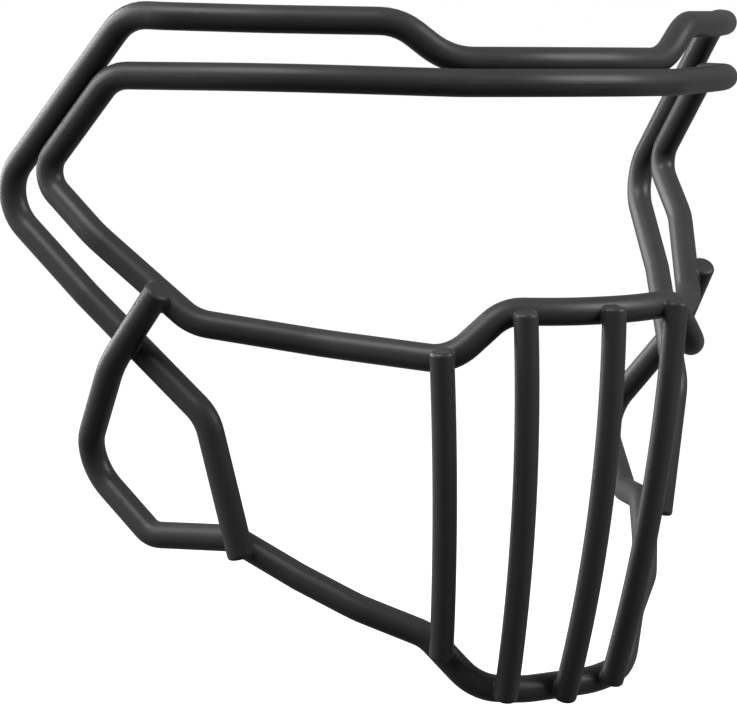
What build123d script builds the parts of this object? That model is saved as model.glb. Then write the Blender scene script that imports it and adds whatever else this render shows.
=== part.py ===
import os
from math import cos, radians, sin

from build123d import *

os.makedirs("parts", exist_ok=True)

# Football helmet facemask. Three bent wire hoops and four upright front bars are welded where
# they cross and dipped in a tough dark coat. Millimetres, +Z up, the face side towards -Y.
# The origin is the middle of the brow wire, where the top clip of the helmet holds the mask.

# Overall sizes, measured on wire centre lines
half_width = 114.0
depth = 115.5
drop = 171.5

# Wire and coat
hoop_wire_diameter = 6.0
bar_wire_diameter = 5.1
coat_thickness = 0.75
end_round = 1.2
hoop_radius = hoop_wire_diameter / 2 + coat_thickness
bar_radius = bar_wire_diameter / 2 + coat_thickness

# Fits: wires sink into each other by the weld bite where they cross, and just touch side by side
weld_bite = 1.9
cheek_bite = 3.0
lap_clearance = 0.02
brow_clearance = 0.17
hoop_seat = 2 * hoop_radius - weld_bite
cheek_seat_depth = 2 * hoop_radius - cheek_bite
bar_seat = hoop_radius + bar_radius - weld_bite
lap_spacing = 2 * hoop_radius + lap_clearance
brow_spacing = 2 * hoop_radius + brow_clearance

# Bend radii on the wire centre lines
tight_bend = 7.0
wire_bend = 12.0
wide_bend = 15.0
ramp_bend = 20.0
sweep_bend = 30.0
front_bend = 60.0
brow_bend = 80.0

# Outer hoop, right half: brow dip, its ramp, the top side run and its turn to the rear, the
# temple and the long side run
brow_flat_share = (0.12, 0.0, 0.0)
brow_dip_share = (0.32, 0.062, 0.0)
brow_ramp_share = (0.428, 0.11, 0.06)
brow_side_share = (0.684, 0.29, 0.063)
brow_turn_share = (0.848, 0.446, 0.067)
brow_corner_share = (0.896, 0.545, 0.07)
temple_share = (1.0, 1.0, -0.221)
side_run_share = (0.888, 0.757, -0.376)
side_bend_share = (0.722, 0.476, -0.563)
outer_end_overrun = 0.2

# Eye hoop: its brow run lies in front of the dip and its upper side run against the outer hoop
brow_lap_angle = 41.0
eye_brow_side_share = (0.685, 0.22, -0.026)
eye_corner_share = 0.215
eye_rear_share = 0.76
side_lap_direction = Vector(-0.18, -0.65, -0.74)
eye_side_run_share = (0.905, 0.685, -0.278)
eye_side_bend_share = (0.76, 0.473, -0.411)
eye_lower_run_share = (0.529, 0.267, -0.441)
step_low_share = (0.364, -0.013, -0.458)
step_high_share = (0.25, -0.066, -0.383)
mouth_flat_share = (0.105, -0.117, -0.386)

# Jaw hoop: both ends lie over the outside of the eye hoop, and it crosses the outer hoop
cheek_seat_share = 0.315
side_crossing_share = 0.4
cheek_end_overrun = 3.6
jaw_rear_run = 6.0
jaw_apex_share = (0.816, 0.9, -0.655)
jaw_rear_share = (0.739, 0.705, -0.77)
jaw_bend_share = (0.631, 0.502, -0.764)
jaw_side_share = (0.532, 0.366, -0.82)
jaw_front_share = (0.439, 0.255, -0.864)
chin_step_share = (0.311, 0.15, -0.906)
chin_corner_share = (0.222, 0.072, -0.988)
chin_flat_share = (0.105, 0.042, -0.996)
outer_seat_share = 0.27

# Front bars, from the wearer's right to left, as places across the half width
bar_names = ["outer_bar", "right_bar", "centre_bar", "left_bar"]
bar_top_shares = [-0.368, -0.215, -0.004, 0.195]
bar_foot_shares = [-0.274, -0.165, -0.011, 0.121]
bar_bow_shares = [0.3, 0.75, 1.0, 0.85]
bar_bow = 5.0
bar_end_overrun = 3.5
bar_top_overrun_shares = [0.8, 0.1, 0.35, 0.35]
bar_foot_overrun_shares = [-0.5, 0.2, 0.4, -0.25]

# Weld beads
bead_swell = 0.75
bead_reach = 13.0
side_bead_length = 16.0
brow_bead_length = 7.0
brow_bead_share = 0.58
lap_bead_width = 3.6
lap_bead_depth = 1.7


def place(shares):
    """Turn shares of the half width, depth and drop into a point."""
    across, back, up = shares
    return Vector(across * half_width, back * depth, up * drop)


def along(start, end, share):
    """A point on the run between two corners."""
    return start + (end - start) * share


def square_to(direction, run):
    """The part of a direction that is square to a run, at unit length."""
    unit = run.normalized()
    return (direction - unit * direction.dot(unit)).normalized()


def outward(first_run, second_run):
    """The common normal of two crossing runs, pointing away from the face."""
    normal = first_run.cross(second_run).normalized()
    return normal if normal.X > 0 else -normal


def mirrored(point):
    return Vector(-point.X, point.Y, point.Z)


def place_across(path, across):
    """The point and direction of a wire, running from one side to the other, that far across."""
    low = 0.0
    high = 1.0
    for _ in range(24):
        middle = (low + high) / 2
        if (path @ middle).X < across:
            low = middle
        else:
            high = middle
    return path @ low, path % low


def half_route(corners):
    """Corners and their bend radii, from the middle to one end, become a whole route."""
    points = [mirrored(p) for p, _ in reversed(corners)] + [p for p, _ in corners]
    bends = [bend for _, bend in reversed(corners)] + [bend for _, bend in corners]
    return points, bends


def swollen(path, radius):
    """A wire's form made thicker all round by the swell of a bead."""
    with BuildPart() as form:
        with BuildSketch(Plane(origin=path @ 0, z_dir=path % 0)):
            Circle(radius + bead_swell)
        sweep(path=path)
    return form


def weld_bead(name, foot, forms, wires):
    """A bead in the crease where two wires cross, inside the swollen forms of both."""
    with BuildPart() as bead:
        with Locations(foot):
            Sphere(bead_reach)
        for form in forms:
            add(form.part, mode=Mode.INTERSECT)
        for wire in wires:
            add(wire.part, mode=Mode.SUBTRACT)
    bead.part.label = name
    export_step(bead.part, f"parts/{name}.step")


def lap_bead(name, middle, run, lap, length):
    """A bead in the rear groove between two straight wires that lie side by side."""
    across = lap.cross(run)
    rear = across if across.Y > 0 else -across
    with BuildPart() as bead:
        with BuildSketch(Plane(origin=middle, x_dir=lap, z_dir=lap.cross(rear))):
            with Locations((lap_spacing / 2, lap_bead_depth)):
                Circle(lap_bead_width / 2)
            with Locations((0, 0), (lap_spacing, 0)):
                Circle(hoop_radius, mode=Mode.SUBTRACT)
        extrude(amount=length / 2, both=True)
    bead.part.label = name
    export_step(bead.part, f"parts/{name}.step")


# Corners of the outer hoop
brow_flat = place(brow_flat_share)
brow_dip = place(brow_dip_share)
brow_ramp = place(brow_ramp_share)
brow_side = place(brow_side_share)
brow_turn = place(brow_turn_share)
brow_corner = place(brow_corner_share)
temple = place(temple_share)
side_run = place(side_run_share)
side_bend = place(side_bend_share)

# Corners of the eye hoop
brow_lap = Vector(0, -sin(radians(brow_lap_angle)), -cos(radians(brow_lap_angle)))
side_lap = square_to(side_lap_direction, temple - brow_corner)
eye_corner = along(brow_corner, temple, eye_corner_share) + side_lap * lap_spacing
eye_rear = along(brow_corner, temple, eye_rear_share) + side_lap * lap_spacing
eye_side_run = place(eye_side_run_share)
eye_side_bend = place(eye_side_bend_share)
eye_lower_run = place(eye_lower_run_share)
mouth_corners = [
    (place(mouth_flat_share), front_bend),
    (place(step_high_share), wire_bend),
    (place(step_low_share), wire_bend),
    (eye_lower_run, sweep_bend),
]

# Corners of the jaw hoop: its first run passes over the eye hoop and then the outer hoop
cheek_point = along(eye_side_bend, eye_side_run, cheek_seat_share)
crossing_point = along(side_run, side_bend, side_crossing_share)
cheek_run = crossing_point - cheek_point
cheek_normal = outward(eye_side_run - eye_side_bend, cheek_run)
crossing_normal = outward(side_bend - side_run, cheek_run)
cheek_seat = cheek_point + cheek_normal * cheek_seat_depth
crossing_seat = crossing_point + crossing_normal * hoop_seat
cheek_way = (crossing_seat - cheek_seat).normalized()
jaw_end = cheek_seat - cheek_way * cheek_end_overrun
jaw_top = crossing_seat + cheek_way * jaw_rear_run
jaw_bend = place(jaw_bend_share)
jaw_side = place(jaw_side_share)
chin_corners = [
    (place(chin_flat_share), sweep_bend),
    (place(chin_corner_share), wide_bend),
    (place(chin_step_share), wire_bend),
    (place(jaw_front_share), sweep_bend),
    (jaw_side, sweep_bend),
]

# The outer hoop's ends lie over the outside of the jaw hoop
outer_point = along(jaw_bend, jaw_side, outer_seat_share)
outer_normal = outward(jaw_side - jaw_bend, outer_point - side_bend)
outer_seat = outer_point + outer_normal * hoop_seat
outer_end = outer_seat + (outer_seat - side_bend).normalized() * outer_end_overrun

# Eye hoop, one closed ring
eye_points, eye_bends = half_route(
    [
        (brow_flat + brow_lap * brow_spacing, front_bend),
        (brow_dip + brow_lap * brow_spacing, sweep_bend),
        (place(eye_brow_side_share), brow_bend),
        (eye_corner, wire_bend),
        (eye_rear, tight_bend),
        (eye_side_run, sweep_bend),
        (eye_side_bend, wide_bend),
    ]
    + mouth_corners[::-1]
)
with BuildPart() as eye_hoop:
    with BuildLine() as eye_path:
        FilletPolyline(*eye_points, radius=eye_bends, close=True)
    with BuildSketch(Plane(origin=eye_path.wire() @ 0, z_dir=eye_path.wire() % 0)):
        Circle(hoop_radius)
    sweep()
eye_hoop.part.label = "eye_hoop"
export_step(eye_hoop.part, "parts/eye_hoop.step")

# Jaw hoop, with both ends coped over the eye hoop
jaw_points, jaw_bends = half_route(
    chin_corners
    + [
        (jaw_bend, wire_bend),
        (place(jaw_rear_share), tight_bend),
        (place(jaw_apex_share), wire_bend),
        (jaw_top, sweep_bend),
        (jaw_end, 0),
    ]
)
with BuildPart() as jaw_hoop:
    with BuildLine() as jaw_path:
        FilletPolyline(*jaw_points, radius=jaw_bends[1:-1])
    with BuildSketch(Plane(origin=jaw_path.wire() @ 0, z_dir=jaw_path.wire() % 0)):
        Circle(hoop_radius)
    sweep()
    fillet(jaw_hoop.faces().filter_by(GeomType.PLANE).edges(), end_round)
    add(eye_hoop.part, mode=Mode.SUBTRACT)
jaw_hoop.part.label = "jaw_hoop"
export_step(jaw_hoop.part, "parts/jaw_hoop.step")

# Outer hoop, coped where it meets the jaw hoop
outer_points, outer_bends = half_route(
    [
        (brow_flat, front_bend),
        (brow_dip, ramp_bend),
        (brow_ramp, wide_bend),
        (brow_side, brow_bend),
        (brow_turn, wide_bend),
        (brow_corner, wide_bend),
        (temple, wire_bend),
        (side_run, sweep_bend),
        (side_bend, wire_bend),
        (outer_end, 0),
    ]
)
with BuildPart() as outer_hoop:
    with BuildLine() as outer_path:
        FilletPolyline(*outer_points, radius=outer_bends[1:-1])
    with BuildSketch(Plane(origin=outer_path.wire() @ 0, z_dir=outer_path.wire() % 0)):
        Circle(hoop_radius)
    sweep()
    fillet(outer_hoop.faces().filter_by(GeomType.PLANE).edges(), end_round)
    add(jaw_hoop.part, mode=Mode.SUBTRACT)
outer_hoop.part.label = "outer_hoop"
export_step(outer_hoop.part, "parts/outer_hoop.step")

# The hoops' swollen forms, for the weld beads
eye_form = swollen(eye_path.wire(), hoop_radius)
jaw_form = swollen(jaw_path.wire(), hoop_radius)
outer_form = swollen(outer_path.wire(), hoop_radius)

# The front of the eye hoop and of the jaw hoop, from one side to the other, for the bars' seats
mouth_points, mouth_bends = half_route(mouth_corners)
with BuildLine() as mouth_path:
    FilletPolyline(*mouth_points, radius=mouth_bends[1:-1])
chin_points, chin_bends = half_route(chin_corners)
with BuildLine() as chin_path:
    FilletPolyline(*chin_points, radius=chin_bends[1:-1])

# Front bars, bowed forward, each coped over both hoops, and their weld beads
for i, name in enumerate(bar_names):
    top_point, top_way = place_across(mouth_path.wire(), bar_top_shares[i] * half_width)
    foot_point, foot_way = place_across(chin_path.wire(), bar_foot_shares[i] * half_width)
    chord = foot_point - top_point
    bow = square_to(Vector(0, -1, 0), chord) * bar_bow * bar_bow_shares[i]
    lean = bow * 4 / chord.length
    top_run = (chord.normalized() + lean).normalized()
    foot_run = (chord.normalized() - lean).normalized()
    top_normal = top_run.cross(top_way).normalized()
    foot_normal = foot_run.cross(foot_way).normalized()
    top_overrun = bar_end_overrun * bar_top_overrun_shares[i]
    foot_overrun = bar_end_overrun * bar_foot_overrun_shares[i]
    bar_top = top_point + top_normal * bar_seat - top_run * top_overrun
    bar_foot = foot_point + foot_normal * bar_seat + foot_run * foot_overrun
    with BuildPart() as bar:
        with BuildLine() as bar_path:
            ThreePointArc(bar_top, along(bar_top, bar_foot, 1 / 2) + bow, bar_foot)
        with BuildSketch(Plane(origin=bar_path.wire() @ 0, z_dir=bar_path.wire() % 0)):
            Circle(bar_radius)
        sweep()
        fillet(bar.faces().filter_by(GeomType.PLANE).edges(), end_round)
        add(eye_hoop.part, mode=Mode.SUBTRACT)
        add(jaw_hoop.part, mode=Mode.SUBTRACT)
    bar.part.label = name
    export_step(bar.part, f"parts/{name}.step")
    bar_form = swollen(bar_path.wire(), bar_radius)
    weld_bead(f"{name}_top_weld", top_point, [bar_form, eye_form], [bar, eye_hoop])
    weld_bead(f"{name}_foot_weld", foot_point, [bar_form, jaw_form], [bar, jaw_hoop])

# Weld beads of the hoops, on both sides
side_middle = along(eye_corner, eye_rear, 1 / 2) - side_lap * lap_spacing
side_way = temple - brow_corner
dip_middle = along(brow_flat, brow_dip, brow_bead_share)
dip_way = brow_dip - brow_flat
dip_lap = square_to(brow_lap, dip_way)
hoop_beads = [
    ("cheek_weld", cheek_point, [eye_form, jaw_form], [eye_hoop, jaw_hoop]),
    ("crossing_weld", crossing_point, [outer_form, jaw_form], [outer_hoop, jaw_hoop]),
    ("jaw_weld", outer_point, [outer_form, jaw_form], [outer_hoop, jaw_hoop]),
]
lap_beads = [
    ("side_lap_weld", side_middle, side_way, side_lap, side_bead_length),
    ("brow_lap_weld", dip_middle, dip_way, dip_lap, brow_bead_length),
]
for side, flip in (("left", Vector), ("right", mirrored)):
    for name, foot, forms, wires in hoop_beads:
        weld_bead(f"{name}_{side}", flip(foot), forms, wires)
    for name, middle, run, lap, length in lap_beads:
        lap_bead(f"{name}_{side}", flip(middle), flip(run), flip(lap), length)
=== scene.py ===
import math

import bpy
from mathutils import Matrix, Vector
from mathutils.bvhtree import BVHTree


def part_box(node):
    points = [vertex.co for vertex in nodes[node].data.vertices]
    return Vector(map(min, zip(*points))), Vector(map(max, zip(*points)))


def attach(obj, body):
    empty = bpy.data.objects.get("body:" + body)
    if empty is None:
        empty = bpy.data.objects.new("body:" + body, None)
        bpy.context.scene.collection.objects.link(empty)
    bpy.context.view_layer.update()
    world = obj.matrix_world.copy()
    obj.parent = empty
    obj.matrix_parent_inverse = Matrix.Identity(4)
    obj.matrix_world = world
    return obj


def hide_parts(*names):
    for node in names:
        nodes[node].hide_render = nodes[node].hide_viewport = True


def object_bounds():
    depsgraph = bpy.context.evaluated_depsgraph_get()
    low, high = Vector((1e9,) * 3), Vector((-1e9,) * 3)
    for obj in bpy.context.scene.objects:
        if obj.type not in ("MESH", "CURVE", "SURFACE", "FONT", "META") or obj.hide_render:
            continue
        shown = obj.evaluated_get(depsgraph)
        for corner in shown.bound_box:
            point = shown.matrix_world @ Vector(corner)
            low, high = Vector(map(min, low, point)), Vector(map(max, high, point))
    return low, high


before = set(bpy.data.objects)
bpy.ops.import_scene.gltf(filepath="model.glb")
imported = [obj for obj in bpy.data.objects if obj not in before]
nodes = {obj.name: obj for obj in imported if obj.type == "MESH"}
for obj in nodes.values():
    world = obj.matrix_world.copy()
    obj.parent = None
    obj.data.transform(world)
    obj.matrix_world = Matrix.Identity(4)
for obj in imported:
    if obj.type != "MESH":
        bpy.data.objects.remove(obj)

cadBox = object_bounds()
bpy.ops.object.select_all(action="DESELECT")
print("frame loaded:", len(nodes), "nodes")


def newMaterial(name):
    material = bpy.data.materials.new(name)
    material.use_nodes = True
    tree = material.node_tree
    return material, tree, tree.nodes["Principled BSDF"]


# each input takes another node's output or a plain value
def addNode(tree, kind, inputs=None, **settings):
    made = tree.nodes.new(kind)
    for key, value in settings.items():
        setattr(made, key, value)
    for key, value in (inputs or {}).items():
        if isinstance(value, bpy.types.NodeSocket):
            tree.links.new(value, made.inputs[key])
        else:
            made.inputs[key].default_value = value
    return made


def addMath(tree, operation, first, second):
    made = addNode(tree, "ShaderNodeMath", {0: first, 1: second}, operation=operation)
    return made.outputs[0]


def mixColors(tree, factor, first, second):
    inputs = {"Factor": factor, "A": first, "B": second}
    return addNode(tree, "ShaderNodeMix", inputs, data_type="RGBA").outputs["Result"]


def mapRange(tree, value, span, result=(0.0, 1.0)):
    inputs = {
        "Value": value,
        "From Min": span[0],
        "From Max": span[1],
        "To Min": result[0],
        "To Max": result[1],
    }
    return addNode(tree, "ShaderNodeMapRange", inputs).outputs[0]


def objectNoise(tree, noise, scale):
    place = addNode(tree, "ShaderNodeTexCoord").outputs["Object"]
    inputs = {
        "Vector": place,
        "Scale": scale,
        "Detail": noise["detail"],
        "Roughness": noise["roughness"],
    }
    return addNode(tree, "ShaderNodeTexNoise", inputs).outputs["Fac"]


def newGroup(name, inputs, outputs):
    group = bpy.data.node_groups.new(name, "ShaderNodeTree")
    for way, labels in (("INPUT", inputs), ("OUTPUT", outputs)):
        for label in labels:
            group.interface.new_socket(label, in_out=way, socket_type="NodeSocketFloat")
    entry = group.nodes.new("NodeGroupInput").outputs
    leave = group.nodes.new("NodeGroupOutput").inputs
    return group, entry, leave


# the dip coat's skin: a soft orange peel, fine grain on top of it, and slow patches where
# it ran thicker
peelNoise = dict(detail=2.0, roughness=0.45)
grainNoise = dict(detail=3.0, roughness=0.6)
patchNoise = dict(detail=3.0, roughness=0.55)


def buildCoatSkin():
    scales = ("Peel Scale", "Grain Scale", "Patch Scale", "Grain Share")
    group, entry, leave = newGroup("coatSkin", scales, ("Height", "Patches"))
    peel = objectNoise(group, peelNoise, entry["Peel Scale"])
    grain = objectNoise(group, grainNoise, entry["Grain Scale"])
    patches = objectNoise(group, patchNoise, entry["Patch Scale"])
    share = addMath(group, "MULTIPLY", grain, entry["Grain Share"])
    group.links.new(addMath(group, "ADD", peel, share), leave["Height"])
    group.links.new(patches, leave["Patches"])
    return group


# fine dust that settles on what faces up
dustNoise = dict(detail=4.0, roughness=0.7)
dustSpans = dict(upward=(0.1, 1.0), specks=(0.35, 0.75))


def buildDustFilm():
    group, entry, leave = newGroup("dustFilm", ("Amount", "Speck Scale"), ("Mask",))
    normal = addNode(group, "ShaderNodeNewGeometry").outputs["Normal"]
    height = addNode(group, "ShaderNodeSeparateXYZ", {0: normal}).outputs["Z"]
    upward = mapRange(group, height, dustSpans["upward"])
    noise = objectNoise(group, dustNoise, entry["Speck Scale"])
    specks = mapRange(group, noise, dustSpans["specks"])
    both = addMath(group, "MULTIPLY", upward, specks)
    group.links.new(addMath(group, "MULTIPLY", both, entry["Amount"]), leave["Mask"])
    return group


coatSkin = buildCoatSkin()
dustFilm = buildDustFilm()


def buildCoat(name, coat):
    material, tree, shader = newMaterial(name)
    skinValues = {
        "Peel Scale": coat["peelScale"],
        "Grain Scale": coat["grainScale"],
        "Patch Scale": coat["patchScale"],
        "Grain Share": coat["grainShare"],
    }
    dustValues = {"Amount": coat["dust"], "Speck Scale": coat["speckScale"]}
    skin = addNode(tree, "ShaderNodeGroup", skinValues, node_tree=coatSkin).outputs
    dust = addNode(tree, "ShaderNodeGroup", dustValues, node_tree=dustFilm).outputs
    tint = mixColors(tree, skin["Patches"], coat["darkColor"], coat["lightColor"])
    dusty = mixColors(tree, dust["Mask"], tint, coat["dustColor"])
    rough = mapRange(tree, skin["Patches"], coat["patchSpan"], coat["roughness"])
    bumpValues = {
        "Strength": coat["bumpStrength"],
        "Distance": coat["bumpDepth"],
        "Height": skin["Height"],
    }
    bump = addNode(tree, "ShaderNodeBump", bumpValues).outputs["Normal"]
    tree.links.new(dusty, shader.inputs["Base Color"])
    tree.links.new(rough, shader.inputs["Roughness"])
    tree.links.new(bump, shader.inputs["Normal"])
    shader.inputs["Specular IOR Level"].default_value = coat["specular"]
    return material


# the hoops' coat; the bars' is finer and duller, the welds' a little finer
hoopCoat = dict(
    darkColor=(0.032, 0.032, 0.033, 1),
    lightColor=(0.042, 0.042, 0.043, 1),
    dustColor=(0.2, 0.195, 0.19, 1),
    peelScale=650.0,
    grainScale=3800.0,
    patchScale=55.0,
    grainShare=0.25,
    patchSpan=(0.3, 0.7),
    roughness=(0.38, 0.46),
    speckScale=1500.0,
    dust=0.02,
    bumpStrength=0.18,
    bumpDepth=0.00008,
    specular=0.3,
)
barCoat = dict(hoopCoat, peelScale=800.0, roughness=(0.4, 0.48))
weldCoat = dict(hoopCoat, peelScale=700.0)

hoopCoatMaterial = buildCoat("hoopCoat", hoopCoat)
barCoatMaterial = buildCoat("barCoat", barCoat)
weldCoatMaterial = buildCoat("weldCoat", weldCoat)

for name, node in nodes.items():
    if name.endswith("_hoop"):
        coat = hoopCoatMaterial
    elif name.endswith("_bar"):
        coat = barCoatMaterial
    else:
        coat = weldCoatMaterial
    for slot in node.material_slots:
        slot.material = coat
print("coats given to the wires, bars and welds")


# the coat pools in the crease of every weld: a skin is drawn over both wires, smoothed, kept
# only along the crease and given a thin wall; between wires that lie side by side it stays in
# the groove that the bead fills
weldSkin = dict(
    reach=0.0105,
    mergeWithin=0.000001,
    grain=0.00025,
    smoothFactor=0.5,
    smoothSteps=28,
    wireWithin=0.0016,
    lapMargin=0.003,
    beadWithin=0.001,
    wall=0.0005,
)

weldPairs = {}
for bar in ("outer_bar", "right_bar", "centre_bar", "left_bar"):
    weldPairs[bar + "_top_weld"] = (bar, "eye_hoop")
    weldPairs[bar + "_foot_weld"] = (bar, "jaw_hoop")
for side in ("left", "right"):
    weldPairs["cheek_weld_" + side] = ("jaw_hoop", "eye_hoop")
    weldPairs["crossing_weld_" + side] = ("jaw_hoop", "outer_hoop")
    weldPairs["jaw_weld_" + side] = ("outer_hoop", "jaw_hoop")
    weldPairs["side_lap_weld_" + side] = ("outer_hoop", "eye_hoop")
    weldPairs["brow_lap_weld_" + side] = ("outer_hoop", "eye_hoop")

surfaces = {}
for name, node in nodes.items():
    places = [vertex.co for vertex in node.data.vertices]
    faces = [face.vertices for face in node.data.polygons]
    surfaces[name] = BVHTree.FromPolygons(places, faces)


def pickOnly(*things):
    bpy.ops.object.select_all(action="DESELECT")
    for thing in things:
        thing.select_set(True)
    bpy.context.view_layer.objects.active = things[0]


# a merged copy of a wire, cut to a box and closed where it is cut
def cutOut(name, low, high):
    piece = bpy.data.objects.new(name + "_cut", nodes[name].data.copy())
    bpy.context.scene.collection.objects.link(piece)
    pickOnly(piece)
    bpy.ops.object.mode_set(mode="EDIT")
    bpy.ops.mesh.select_all(action="SELECT")
    bpy.ops.mesh.remove_doubles(threshold=weldSkin["mergeWithin"])
    for axis in range(3):
        for corner, way in ((low, -1.0), (high, 1.0)):
            outward = [0.0, 0.0, 0.0]
            outward[axis] = way
            bpy.ops.mesh.select_all(action="SELECT")
            bpy.ops.mesh.bisect(
                plane_co=corner, plane_no=outward, use_fill=True, clear_outer=True
            )
    bpy.ops.object.mode_set(mode="OBJECT")
    return piece


# guides are the surfaces that the skin stays near, each with the farthest that it may be
def growSkin(name, wires, low, high, guides):
    pickOnly(*[cutOut(wire, low, high) for wire in wires])
    bpy.ops.object.join()
    skin = bpy.context.object
    skin.name = name
    skin.data.name = name
    remesh = skin.modifiers.new("skin", "REMESH")
    remesh.mode = "VOXEL"
    remesh.voxel_size = weldSkin["grain"]
    pool = skin.modifiers.new("pool", "SMOOTH")
    pool.factor = weldSkin["smoothFactor"]
    pool.iterations = weldSkin["smoothSteps"]
    for modifier in ("skin", "pool"):
        bpy.ops.object.modifier_apply(modifier=modifier)
    bpy.ops.object.mode_set(mode="EDIT")
    bpy.ops.mesh.select_mode(type="VERT")
    bpy.ops.mesh.select_all(action="DESELECT")
    bpy.ops.object.mode_set(mode="OBJECT")
    for vertex in skin.data.vertices:
        near = [
            surfaces[guide].find_nearest(vertex.co, within)[0]
            for guide, within in guides.items()
        ]
        vertex.select = any(place is None for place in near)
    bpy.ops.object.mode_set(mode="EDIT")
    bpy.ops.mesh.delete(type="VERT")
    bpy.ops.object.mode_set(mode="OBJECT")
    wall = skin.modifiers.new("wall", "SOLIDIFY")
    wall.thickness = weldSkin["wall"]
    wall.offset = -1.0  # inwards, so the outside stays where it is
    bpy.ops.object.modifier_apply(modifier="wall")
    bpy.ops.object.shade_smooth()
    skin.data.materials.clear()
    skin.data.materials.append(weldCoatMaterial)
    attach(skin, "root")
    return skin


for weld, wires in weldPairs.items():
    low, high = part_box(weld)
    guides = {wire: weldSkin["wireWithin"] for wire in wires}
    if "_lap_" in weld:
        guides[weld] = weldSkin["beadWithin"]
        margin = Vector((1, 1, 1)) * weldSkin["lapMargin"]
    else:
        margin = Vector((1, 1, 1)) * weldSkin["reach"] - (high - low) / 2
    skin = growSkin(weld + "_coat", wires, low - margin, high + margin, guides)
    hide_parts(weld)
print("weld coats drawn:", len(weldPairs))


# how white the backdrop shows: full to the camera and through glass, fainter in reflections,
# since the satin coat in the photograph hardly mirrors its surroundings, and 0 for rays that light
backdropSetup = dict(mirrored=0.2)


def backdropShare(tree):
    path = addNode(tree, "ShaderNodeLightPath").outputs
    mirrored = addMath(tree, "MULTIPLY", path["Is Glossy Ray"], backdropSetup["mirrored"])
    shown = addMath(tree, "MAXIMUM", path["Is Camera Ray"], mirrored)
    return addMath(tree, "MAXIMUM", shown, path["Is Transmission Ray"])


# pale floor, well below the mask, which hangs as on a helmet; it glows whiter with distance,
# and near the mask it keeps the shadow
floorSetup = dict(
    size=12.0,
    below=0.12,
    color=(0.5, 0.5, 0.5, 1),
    bounceColor=(0.03, 0.03, 0.03, 1),
    roughness=0.9,
    glowSpan=(0.3, 0.8),
    glow=(0.15, 1.0),
)
floorHeight = cadBox[0][2] - floorSetup["below"]
bpy.ops.object.select_all(action="DESELECT")
bpy.ops.mesh.primitive_plane_add(size=floorSetup["size"], location=(0, 0, floorHeight))
floor = bpy.context.object
floor.name = "floor"
bpy.ops.object.transform_apply(location=True, rotation=True, scale=True)

floorMaterial, floorTree, floorShader = newMaterial("paleFloor")
floorShader.inputs["Roughness"].default_value = floorSetup["roughness"]
floorShader.inputs["Specular IOR Level"].default_value = 0.0
floorShader.inputs["Emission Color"].default_value = (1, 1, 1, 1)
floorShown = backdropShare(floorTree)
floorTint = mixColors(floorTree, floorShown, floorSetup["bounceColor"], floorSetup["color"])
floorPlace = addNode(floorTree, "ShaderNodeTexCoord").outputs["Object"]
floorSpan = addNode(floorTree, "ShaderNodeVectorMath", {0: floorPlace}, operation="LENGTH")
floorGlow = mapRange(
    floorTree, floorSpan.outputs["Value"], floorSetup["glowSpan"], floorSetup["glow"]
)
floorSeen = addMath(floorTree, "MULTIPLY", floorShown, floorGlow)
floorTree.links.new(floorTint, floorShader.inputs["Base Color"])
floorTree.links.new(floorSeen, floorShader.inputs["Emission Strength"])
floor.data.materials.append(floorMaterial)
print("floor laid")

# the world: white where it is shown, faint where it lights
worldSetup = dict(strength=(0.02, 1.0))
world = bpy.data.worlds.new("paleStudio")
bpy.context.scene.world = world
world.use_nodes = True
worldTree = world.node_tree
background = worldTree.nodes["Background"]
background.inputs["Color"].default_value = (1, 1, 1, 1)
worldSeen = mapRange(worldTree, backdropShare(worldTree), (0.0, 1.0), worldSetup["strength"])
worldTree.links.new(worldSeen, background.inputs["Strength"])
print("world set")


# azimuth 0 is straight in front of the face, both angles in degrees
def wayTo(azimuth, elevation):
    turn = math.radians(azimuth)
    lift = math.radians(elevation)
    return Vector(
        (math.sin(turn) * math.cos(lift), -math.cos(turn) * math.cos(lift), math.sin(lift))
    )


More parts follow.
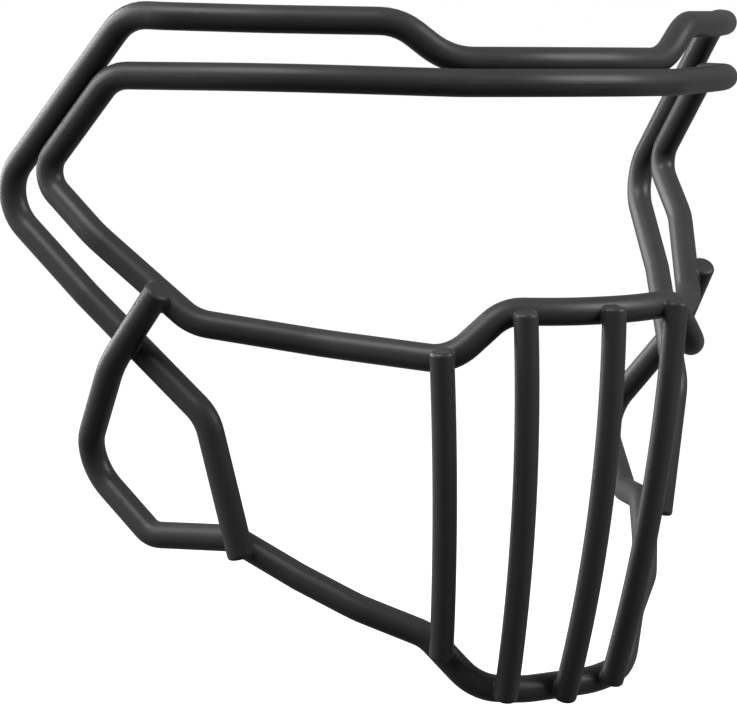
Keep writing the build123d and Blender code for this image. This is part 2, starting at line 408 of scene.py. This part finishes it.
# softboxes round the mask
maskMiddle = Vector((0.0, 0.05, -0.08))
lightSetup = [
    dict(name="leftSoftbox", toward=(-128, 22), reach=1.3, size=(0.6, 0.9), power=13.0),
    dict(name="topSoftbox", toward=(-80, 55), reach=1.3, size=(0.8, 0.6), power=13.0),
    dict(name="rightSoftbox", toward=(42, 30), reach=1.3, size=(0.6, 0.7), power=13.0),
    dict(name="rearStrip", toward=(-160, 18), reach=1.2, size=(0.3, 0.9), power=10.0),
]


def areaLight(name, toward, reach, size, power):
    way = wayTo(*toward)
    bpy.ops.object.light_add(type="AREA", location=maskMiddle + way * reach)
    lamp = bpy.context.object
    lamp.name = name
    lamp.data.shape = "RECTANGLE"
    lamp.data.size, lamp.data.size_y = size
    lamp.data.energy = power
    lamp.rotation_euler = (-way).to_track_quat("-Z", "Y").to_euler()


for light in lightSetup:
    areaLight(**light)
print("lights set")

# the photograph's viewpoint
cameraSetup = dict(
    aim=(-0.0255, 0.0608, -0.0823),
    azimuth=-34.1,
    elevation=5.5,
    roll=0.2,
    distance=0.875,
    lens=151.17,
    sensor=36.0,
    clip=(0.01, 50.0),
)
turn = math.radians(cameraSetup["azimuth"])
lean = math.radians(cameraSetup["roll"])
back = wayTo(cameraSetup["azimuth"], cameraSetup["elevation"])
right = Vector((math.cos(turn), math.sin(turn), 0))
up = back.cross(right)
rolledRight = right * math.cos(lean) + up * math.sin(lean)
rolledUp = up * math.cos(lean) - right * math.sin(lean)
facing = Matrix((rolledRight, rolledUp, back)).transposed().to_4x4()
stand = Vector(cameraSetup["aim"]) + back * cameraSetup["distance"]
cameraData = bpy.data.cameras.new("photoCamera")
cameraData.sensor_width = cameraSetup["sensor"]
cameraData.lens = cameraSetup["lens"]
cameraData.clip_start, cameraData.clip_end = cameraSetup["clip"]
camera = bpy.data.objects.new("photoCamera", cameraData)
bpy.context.scene.collection.objects.link(camera)
camera.matrix_world = Matrix.Translation(stand) @ facing
bpy.context.scene.camera = camera
bpy.context.scene.view_settings.view_transform = "Standard"
print("camera placed")
